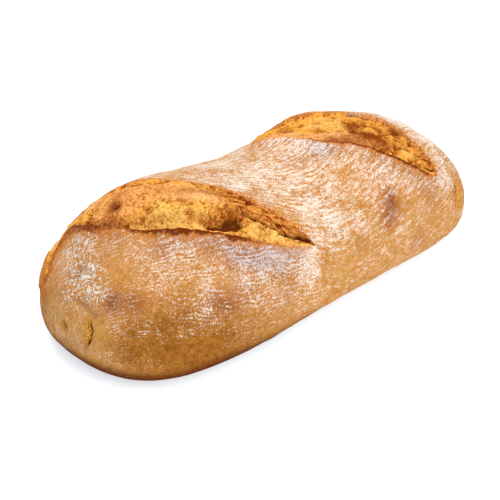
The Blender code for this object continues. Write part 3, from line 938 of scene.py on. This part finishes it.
def opening_piece(name, cut, crumb):
    """Leaf-shaped closed grid over one opening, its lips and a margin of skin."""
    left, run, _ = cut_line(cut)
    across, along, is_top = opening_grid(cut)
    x = left[0] + along * run[0] - across * run[1]
    y = left[1] + along * run[1] + across * run[0]
    base, out = loaf_frame(*place_over(x, y))
    places = [in_cut(base, other) for other in CUTS]
    found = places[0 if cut is LEFT_CUT else 1]
    ragged = 0.0005 * layered_noise(base, 0.0035, 3, cut["salt"] + 20)
    height, facts = crumb(base, found, ragged)
    rough = (1 - 0.80 * facts["skinned"]) * (1 - 0.6 * facts["calm"]) * cut["roughness"]
    rough = rough * smooth(found["from_front"], -0.001, 0.003)
    relief = crumb_relief(base, across, along, facts["wall"], cut["salt"]) * rough
    height = (height + CRUMB_RELIEF * relief) * found["fade"] - TIP_DEPTH * (1 - found["fade"])
    skin = skin_height(base, places) - DIVE * smooth(found["outside"], DIVE_FROM, DIVE_TO)
    height = skin * (1 - found["inside"]) + height * found["inside"]
    hidden = -UNDERSIDE_DEPTH * found["fade"] - UNDERSIDE_TIP_DEPTH
    points = base + out * np.where(is_top, height, hidden)[..., None]
    facts.update(skin_facts(base, places))
    facts.update({"torn": found["inside"], "relief": relief, "rip": across * 1000, "run": along * 1000})
    return closed_skin(name, points, facts)


openings = [opening_piece("opening_left", LEFT_CUT, left_crumb),
            opening_piece("opening_right", RIGHT_CUT, right_crumb)]

# %% [markdown]
# All pieces share one finish, because the skin on an opening piece has to look the same as the skin
# of the crust beside it. A few small helpers keep the node tree readable: each one adds a node to
# it, sets its numbers and joins its inputs. The first ones bring in stored facts and noise.

# %% Facts and noise as nodes


def new_finish(name):
    """A material with an empty tree but for its Principled shader and output."""
    material = bpy.data.materials.new(name)
    material.use_nodes = True
    tree = material.node_tree
    return material, tree, tree.nodes["Principled BSDF"]


finish, tree, shader = new_finish("baked loaf")
coordinate = tree.nodes.new("ShaderNodeTexCoord").outputs["Object"]


def fact(name):
    """The number that the mesh keeps under this name."""
    node = tree.nodes.new("ShaderNodeAttribute")
    node.attribute_name = name
    return node.outputs["Fac"]


def noise(where, scale, detail, roughness, distortion=0.0):
    """Noise texture; its value is about 0.5 on average."""
    node = tree.nodes.new("ShaderNodeTexNoise")
    node.inputs["Scale"].default_value = scale
    node.inputs["Detail"].default_value = detail
    node.inputs["Roughness"].default_value = roughness
    node.inputs["Distortion"].default_value = distortion
    tree.links.new(where, node.inputs["Vector"])
    return node.outputs["Fac"]


print("a finish named", finish.name, "with", len(tree.nodes), "nodes")

# %% [markdown]
# The other helpers do arithmetic with numbers or sockets, and turn a number into a colour or a bump.
# Constants go straight into the sockets, so the tree holds only nodes that do some work.

# %% Arithmetic and colours as nodes


def sums(operation, a, b=None, c=None):
    """One Math node; a, b and c are numbers or sockets."""
    node = tree.nodes.new("ShaderNodeMath")
    node.operation = operation
    for slot, value in enumerate((a, b, c)):
        if isinstance(value, (int, float)):
            node.inputs[slot].default_value = value
        elif value is not None:
            tree.links.new(value, node.inputs[slot])
    return node.outputs[0]


def weigh(*pairs):
    """Sum of sockets times numbers."""
    total = 0.0
    for socket, weight in pairs:
        total = sums("MULTIPLY_ADD", socket, weight, total)
    return total


def span(value, low, high, to_low=0.0, to_high=1.0):
    """Map a value from one range to another with soft ends."""
    node = tree.nodes.new("ShaderNodeMapRange")
    node.interpolation_type = "SMOOTHSTEP"
    for key, number in (("From Min", low), ("From Max", high), ("To Min", to_low), ("To Max", to_high)):
        node.inputs[key].default_value = number
    tree.links.new(value, node.inputs["Value"])
    return node.outputs["Result"]


def blend(factor, a, b):
    """Mix two colours by a factor; a and b are colours or sockets."""
    node = tree.nodes.new("ShaderNodeMix")
    node.data_type = "RGBA"
    for key, value in ((0, factor), (6, a), (7, b)):
        if isinstance(value, tuple):
            node.inputs[key].default_value = (*value, 1.0)
        else:
            tree.links.new(value, node.inputs[key])
    return node.outputs[2]


def bump(height, strength, distance):
    """Bump node from a height socket."""
    node = tree.nodes.new("ShaderNodeBump")
    node.inputs["Strength"].default_value = strength
    node.inputs["Distance"].default_value = distance
    tree.links.new(height, node.inputs["Height"])
    return node.outputs["Normal"]


print("helpers ready; the tree holds", len(tree.nodes), "nodes")

# %% [markdown]
# Flour is never an even coat. It breaks into fine wavy streaks along the wrinkles and into specks, and
# at the left end into curled strands. The pattern is a sum of these, and it later decides where the
# stored amount of flour shows. A scale is the number of noise cells in a metre.

# %% Patterns of flour
STREAKS_ON_BRIDGE, STREAKS_ON_FRONT, CURLS = 950.0, 1150.0, 240.0
WAVES_ON_BRIDGE, WAVES_ON_FRONT, WAVE_PATCHES, WAVE_BEND = 125.0, 135.0, 210.0, 9.0
BLOTCHES, LARGE_SPOTS, MOTTLES, SPECKS = 80.0, 110.0, 330.0, 1400.0
BRIDGE_STRETCH, FRONT_STRETCH = 0.28, 0.40


def joined(across, along, stretch):
    """Vector of two stored millimetre facts, the second drawn out by 1 over stretch."""
    node = tree.nodes.new("ShaderNodeCombineXYZ")
    tree.links.new(sums("MULTIPLY", fact(across), 0.001), node.inputs[0])
    tree.links.new(sums("MULTIPLY", fact(along), 0.001 * stretch), node.inputs[1])
    return node.outputs[0]


def lines(where, scale):
    """Wavy parallel lines across the first coordinate: a sine of it shifted by noise."""
    node = tree.nodes.new("ShaderNodeTexWave")
    node.inputs["Scale"].default_value = scale
    node.inputs["Distortion"].default_value = WAVE_BEND
    node.inputs["Detail"].default_value = 2.0
    node.inputs["Detail Scale"].default_value = 1.6
    tree.links.new(where, node.inputs["Vector"])
    return node.outputs["Fac"]


def ridges(value, breadth):
    """Thin lines where a noise crosses one half: 1 there, 0 where it differs by the breadth."""
    away = sums("ABSOLUTE", sums("SUBTRACT", value, 0.5))
    return span(away, 0.0, breadth, 1.0, 0.0)


ahead, curled, flour = fact("ahead"), fact("curled"), fact("flour")
on_bridge, on_front = joined("across", "along", BRIDGE_STRETCH), joined("facing", "along", FRONT_STRETCH)
streak = blend(ahead, noise(on_bridge, STREAKS_ON_BRIDGE, 2.5, 0.65, 0.9),
               noise(on_front, STREAKS_ON_FRONT, 2.5, 0.65, 1.0))
curls = ridges(noise(coordinate, CURLS, 2.0, 0.5, 2.0), 0.10)
streak = blend(curled, streak, sums("MULTIPLY_ADD", curls, 0.85, 0.20))
wave = blend(ahead, lines(on_bridge, WAVES_ON_BRIDGE), lines(on_front, WAVES_ON_FRONT))
lined = blend(ahead, noise(on_bridge, WAVE_PATCHES, 2.0, 0.5),
              noise(on_front, WAVE_PATCHES, 2.0, 0.5))
lined = sums("MULTIPLY", span(lined, 0.42, 0.58), sums("SUBTRACT", 1.0, curled))
wave = sums("MULTIPLY", sums("SUBTRACT", wave, 0.5), lined)
blotch = noise(coordinate, BLOTCHES, 4.0, 0.65)
mottle = noise(coordinate, MOTTLES, 3.0, 0.6)
speck = noise(coordinate, SPECKS, 2.0, 0.65)
pattern = weigh((streak, 0.36), (wave, 0.09), (speck, 0.52), (mottle, 0.10), (blotch, 0.24))
grainy = weigh((mottle, 0.35), (speck, 0.40), (blotch, 0.25))
print("patterns take", len(tree.nodes), "nodes")

# %% [markdown]
# The bare crust is a warm tan, more orange in large blotches and under flour, and pale where the bread
# took little heat. It is brown in the gaps of the flour pattern, browner where it toasted, golden
# brown low on the left, and nearly black along the foot. Each pair of colours is dark, then light.

# %% Crust colours
GRAIN, NARROW_GRAIN = (0.36, 0.64), (0.38, 0.62)
TAN = ((0.40, 0.155, 0.026), (0.71, 0.395, 0.118))
ORANGE = ((0.40, 0.118, 0.012), (0.72, 0.318, 0.062))
PALE_SKIN = ((0.42, 0.19, 0.042), (0.68, 0.37, 0.105))
GOLDEN_BROWN = ((0.22, 0.070, 0.007), (0.44, 0.170, 0.022))
GAP_BROWN, TOASTED, BURNT = (0.56, 0.190, 0.024), (0.42, 0.140, 0.030), (0.24, 0.070, 0.018)
FOOT_BROWN = (0.13, 0.028, 0.001)


def ramp(value, low, high, below, above):
    """One colour where the value is below low, the other where it is above high, blended between."""
    return blend(span(value, low, high), below, above)


warmth = weigh((span(blotch, 0.42, 0.62), 0.8), (flour, 0.45))
tan = blend(warmth, ramp(grainy, *GRAIN, *TAN), ramp(grainy, *GRAIN, *ORANGE))
skin = ramp(fact("pale"), 0.15, 0.95, tan, ramp(grainy, *GRAIN, *PALE_SKIN))
skin = blend(span(pattern, 0.44, 0.62, 0.85, 0.0), skin, GAP_BROWN)
browned = weigh((fact("toast"), 1.1), (blotch, 0.9), (mottle, 1.2), (speck, 1.7))
skin = ramp(browned, 1.90, 2.50, skin, TOASTED)
skin = ramp(browned, 2.50, 3.20, skin, BURNT)
skin = ramp(fact("golden"), 0.0, 1.0, skin, ramp(grainy, *NARROW_GRAIN, *GOLDEN_BROWN))
bottom = weigh((fact("bottom"), 1.0), (speck, 0.5), (streak, 0.5))
skin = ramp(bottom, 0.55, 1.35, skin, FOOT_BROWN)
print("with the skin", len(tree.nodes), "nodes")

# %% [markdown]
# Just in front of the openings a cool shade is painted on the skin, and the lip itself is orange and
# then dark brown at its edge. Behind the openings runs a brighter rim. The marks at the ends come last:
# torn crumb, painted grey shade in the creases and painted dark shade beside the splits.

# %% Lips, rims and marks
SHADE_BROWN = ((0.22, 0.075, 0.028), (0.50, 0.24, 0.12))
LIP_ORANGE, LIP_BROWN = (0.60, 0.21, 0.045), (0.16, 0.027, 0.002)
RIM = ((0.42, 0.11, 0.014), (0.80, 0.33, 0.05))
CRACK_CRUMB = ((0.46, 0.16, 0.020), (0.82, 0.42, 0.090))
CREASE_SHADE, SLIT_SHADE = (0.30, 0.165, 0.075), (0.10, 0.025, 0.003)
# Painted shade: a cool brown laid on the skin just in front of the lips.
cool_shade, lip = fact("cool_shade"), fact("lip")
shade_tinge = sums("MULTIPLY", cool_shade, sums("MULTIPLY_ADD", lip, -0.7, 0.7))
skin = blend(shade_tinge, skin, ramp(grainy, *NARROW_GRAIN, *SHADE_BROWN))
lip_grain = weigh((lip, 1.0), (speck, 1.4), (mottle, 0.9))
skin = ramp(lip_grain, 1.35, 1.95, skin, LIP_ORANGE)
skin = ramp(lip_grain, 1.75, 2.45, skin, LIP_BROWN)
rim_grain = weigh((fact("rim"), 1.0), (mottle, 0.6))
skin = ramp(rim_grain, 0.55, 1.05, skin, ramp(speck, *GRAIN, *RIM))
skin = ramp(fact("crack"), 0.25, 0.8, skin, ramp(speck, *NARROW_GRAIN, *CRACK_CRUMB))
# Painted shade in the creases at the left end.
crease_shade = weigh((fact("crease_shade"), 1.0), (speck, 0.8), (mottle, 0.5))
skin = ramp(crease_shade, 1.0, 2.1, skin, CREASE_SHADE)
# Painted shade along the edges of the splits.
skin = ramp(fact("slit_shade"), 0.25, 0.8, skin, SLIT_SHADE)
print("with lips and marks", len(tree.nodes), "nodes")

# %% [markdown]
# How much flour shows is a sum: 0.46 times the stored amount, plus the haze and the pattern, less what
# wipes flour off. The pattern counts for more where there is more flour, and the sum becomes cover
# through a soft threshold.

# %% Flour cover
PATTERN_MIDDLE, COVER_OFFSET, FULL_AT, MOST_COVER = 0.58, -0.07, 1.10, 0.95
FLOUR_WHITE, FLOUR_IN_SHADE = (0.83, 0.745, 0.635), (0.64, 0.59, 0.60)
ADDED = (("golden", -0.42), ("bottom", -0.60), ("crack", -0.9), ("crease_shade", -0.4), ("haze", 1.1),
         ("lip", -0.50), ("toast", -0.10))
contrast = sums("MULTIPLY_ADD", ahead, 0.4, sums("MULTIPLY_ADD", flour, 2.5, 4.7))
ragged = sums("MULTIPLY", sums("SUBTRACT", pattern, PATTERN_MIDDLE), contrast)
cover = sums("MULTIPLY_ADD", flour, 0.46, ragged)
cover = weigh((cover, 1.0), *((fact(name), weight) for name, weight in ADDED))
cover = span(sums("ADD", cover, COVER_OFFSET), 0.0, FULL_AT, 0.0, MOST_COVER)
# Flour in the painted shade in front of the lips turns a cool grey.
floured = blend(cover, skin, blend(cool_shade, FLOUR_WHITE, FLOUR_IN_SHADE))
print("with flour", len(tree.nodes), "nodes")

# %% [markdown]
# Torn crumb is golden where it is open, straw yellow in a few places, peach on the calm back of the
# dome and orange where it is skinned, and each of these is darker where the crumb is low, which is
# painted shade in its hollows mixed with mottled noise. Walls are torn into long lines. Toasted places
# are brown, and painted shade makes the deepest cracks and the foot of the wall nearly black.

# %% Crumb colours
FINE, MIDDLING, GRAINS, TORN_LINES, WALL_STRETCH = 1300.0, 480.0, 620.0, 900.0, 0.16
GOLD = ((0.31, 0.046, 0.0003), (1.0, 0.46, 0.075))
STRAW = ((0.46, 0.11, 0.003), (1.0, 0.57, 0.14))
SKINNED = ((0.42, 0.090, 0.006), (1.0, 0.47, 0.13))
PEACH = ((0.62, 0.20, 0.035), (1.0, 0.56, 0.22))
WALL = ((0.26, 0.036, 0.0003), (1.0, 0.43, 0.085))
UMBER, PIT_SHADE = (0.27, 0.050, 0.003), (0.10, 0.018, 0.0008)
fine = noise(coordinate, FINE, 3.0, 0.6)
middling = noise(coordinate, MIDDLING, 4.0, 0.65)
large = noise(coordinate, LARGE_SPOTS, 3.0, 0.6)
grains = tree.nodes.new("ShaderNodeTexVoronoi")
grains.inputs["Scale"].default_value = GRAINS
tree.links.new(coordinate, grains.inputs["Vector"])
grains = grains.outputs["Distance"]
# The stored relief makes the crumb darker where it is low: painted shade in its hollows, mixed with mottled
# tone from the noise.
height = weigh((fact("relief"), 0.34), (middling, 0.9), (fine, 0.9), (grains, -0.45))
crumb = ramp(fact("yellow"), 0.15, 0.9, ramp(height, 0.30, 0.90, *GOLD), ramp(height, 0.16, 0.92, *STRAW))
crumb = ramp(fact("skinned"), 0.2, 0.8, crumb, ramp(height, 0.30, 0.92, *SKINNED))
crumb = blend(fact("calm"), crumb, ramp(height, 0.20, 0.90, *PEACH))
torn_lines = noise(joined("rip", "run", WALL_STRETCH), TORN_LINES, 3.0, 0.6)
wall_height = weigh((torn_lines, 1.1), (fine, 0.5), (grains, -0.2))
crumb = ramp(fact("wall"), 0.2, 0.9, crumb, ramp(wall_height, 0.50, 0.90, *WALL))
umber = weigh((fact("umber"), 1.0), (large, 0.7), (middling, 1.1), (fine, 0.8))
crumb = ramp(umber, 1.35, 2.2, crumb, UMBER)
# Painted shade: the cracks and the foot of the wall are darkened nearly to black.
shaded_pits = weigh((fact("crack_shade"), 1.0), (middling, 0.9), (fine, 0.5))
crumb = ramp(shaded_pits, 0.95, 1.65, crumb, PIT_SHADE)
print("with crumb", len(tree.nodes), "nodes")

# %% [markdown]
# The two colours meet at the torn edge, and so do two kinds of small relief. The finish is dull,
# because neither flour nor crumb shines.

# %% Finish of the pieces
BUMP_HEIGHT = 0.0028
colour = ramp(fact("torn"), 0.15, 0.75, floured, crumb)
crumb_rough = weigh((fine, 0.6), (middling, 0.6), (grains, -0.3))
rough = ramp(fact("torn"), 0.15, 0.75, pattern, crumb_rough)
tree.links.new(colour, shader.inputs["Base Color"])
tree.links.new(bump(rough, 1.0, BUMP_HEIGHT), shader.inputs["Normal"])
shader.inputs["Roughness"].default_value = 0.75
shader.inputs["Specular IOR Level"].default_value = 0.04
for piece in (crust, *openings):
    piece.data.materials.append(finish)
print("finish has", len(tree.nodes), "nodes")

# %% [markdown]
# A loaf has no moving parts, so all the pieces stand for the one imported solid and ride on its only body.
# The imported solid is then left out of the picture, because the three pieces cover it.

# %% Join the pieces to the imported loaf
for piece in (crust, *openings):
    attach(piece, "root")
    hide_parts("loaf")
    print(piece.name, "stands for the packed loaf")

# %% [markdown]
# The loaf stands on a plain white table.

# %% Table
TABLE_REACH, TABLE_TOP = 3.0, -0.0003


def make_table():
    """A large flat square just under the loaf."""
    mesh = bpy.data.meshes.new("table")
    corners = [(x * TABLE_REACH, y * TABLE_REACH, TABLE_TOP) for x, y in ((-1, -1), (1, -1), (1, 1), (-1, 1))]
    mesh.from_pydata(corners, [], [(0, 1, 2, 3)])
    table = bpy.data.objects.new("table", mesh)
    bpy.context.scene.collection.objects.link(table)
    white, _, shader = new_finish("white table")
    shader.inputs["Base Color"].default_value = (0.60, 0.65, 0.68, 1)
    shader.inputs["Emission Color"].default_value = (0.94, 0.97, 1.0, 1)
    shader.inputs["Emission Strength"].default_value = 0.56
    shader.inputs["Roughness"].default_value = 0.9
    mesh.materials.append(white)


make_table()
print("table", 2 * TABLE_REACH, "m wide")

# %% [markdown]
# Two wide square lamps and a white room light the loaf softly, so the only shadow is a thin one where
# it meets the table. A small lamp would draw hard shadows into every wrinkle.

# %% Light


def soft_light(name, place, aim, size, power):
    """A square area light at a place, turned towards a point."""
    data = bpy.data.lights.new(name, "AREA")
    data.shape = "SQUARE"
    data.size = size
    data.energy = power
    lamp = bpy.data.objects.new(name, data)
    lamp.location = place
    lamp.rotation_mode = "QUATERNION"
    lamp.rotation_quaternion = (Vector(aim) - Vector(place)).to_track_quat("-Z", "Y")
    bpy.context.scene.collection.objects.link(lamp)


soft_light("window light", (0.15, 0.60, 1.05), (0, 0, 0.03), 0.8, 11.3)
soft_light("fill light", (-0.15, -0.95, 0.65), (0, 0, 0.03), 0.9, 9.9)
room = bpy.data.worlds.new("white room")
room.use_nodes = True
room.node_tree.nodes["Background"].inputs["Color"].default_value = (1, 1, 1, 1)
room.node_tree.nodes["Background"].inputs["Strength"].default_value = 0.88
bpy.context.scene.world = room
bpy.context.scene.view_settings.view_transform = "Standard"
print("room with", len(bpy.data.lights), "lamps")

# %% [markdown]
# A long lens from a metre away shows the loaf with little perspective. The camera is given by its
# direction and distance, which are easier to judge than a place and three turns.

# %% Camera


def photo_camera(azimuth, elevation, distance, focal_pixels, aside, above):
    """Camera looking along one direction at the loaf, moved a little in its own picture plane."""
    a, e = np.radians(azimuth), np.radians(elevation)
    back = Vector((np.sin(a) * np.cos(e), -np.cos(a) * np.cos(e), np.sin(e)))
    right = Vector((np.cos(a), np.sin(a), 0))
    up = back.cross(right)
    data = bpy.data.cameras.new("camera")
    data.sensor_width = 36
    data.lens = focal_pixels / 500 * 36
    camera = bpy.data.objects.new("camera", data)
    camera.location = right * aside + up * above + back * distance - Vector((0, CENTRE_Y, 0))
    camera.rotation_mode = "QUATERNION"
    camera.rotation_quaternion = (-back).to_track_quat("-Z", "Y")
    bpy.context.scene.collection.objects.link(camera)
    bpy.context.scene.camera = camera


photo_camera(-42.25, 33.0, 1.0, 1779.0, -0.0058, 0.0128)
print("lens of", round(bpy.context.scene.camera.data.lens), "mm")
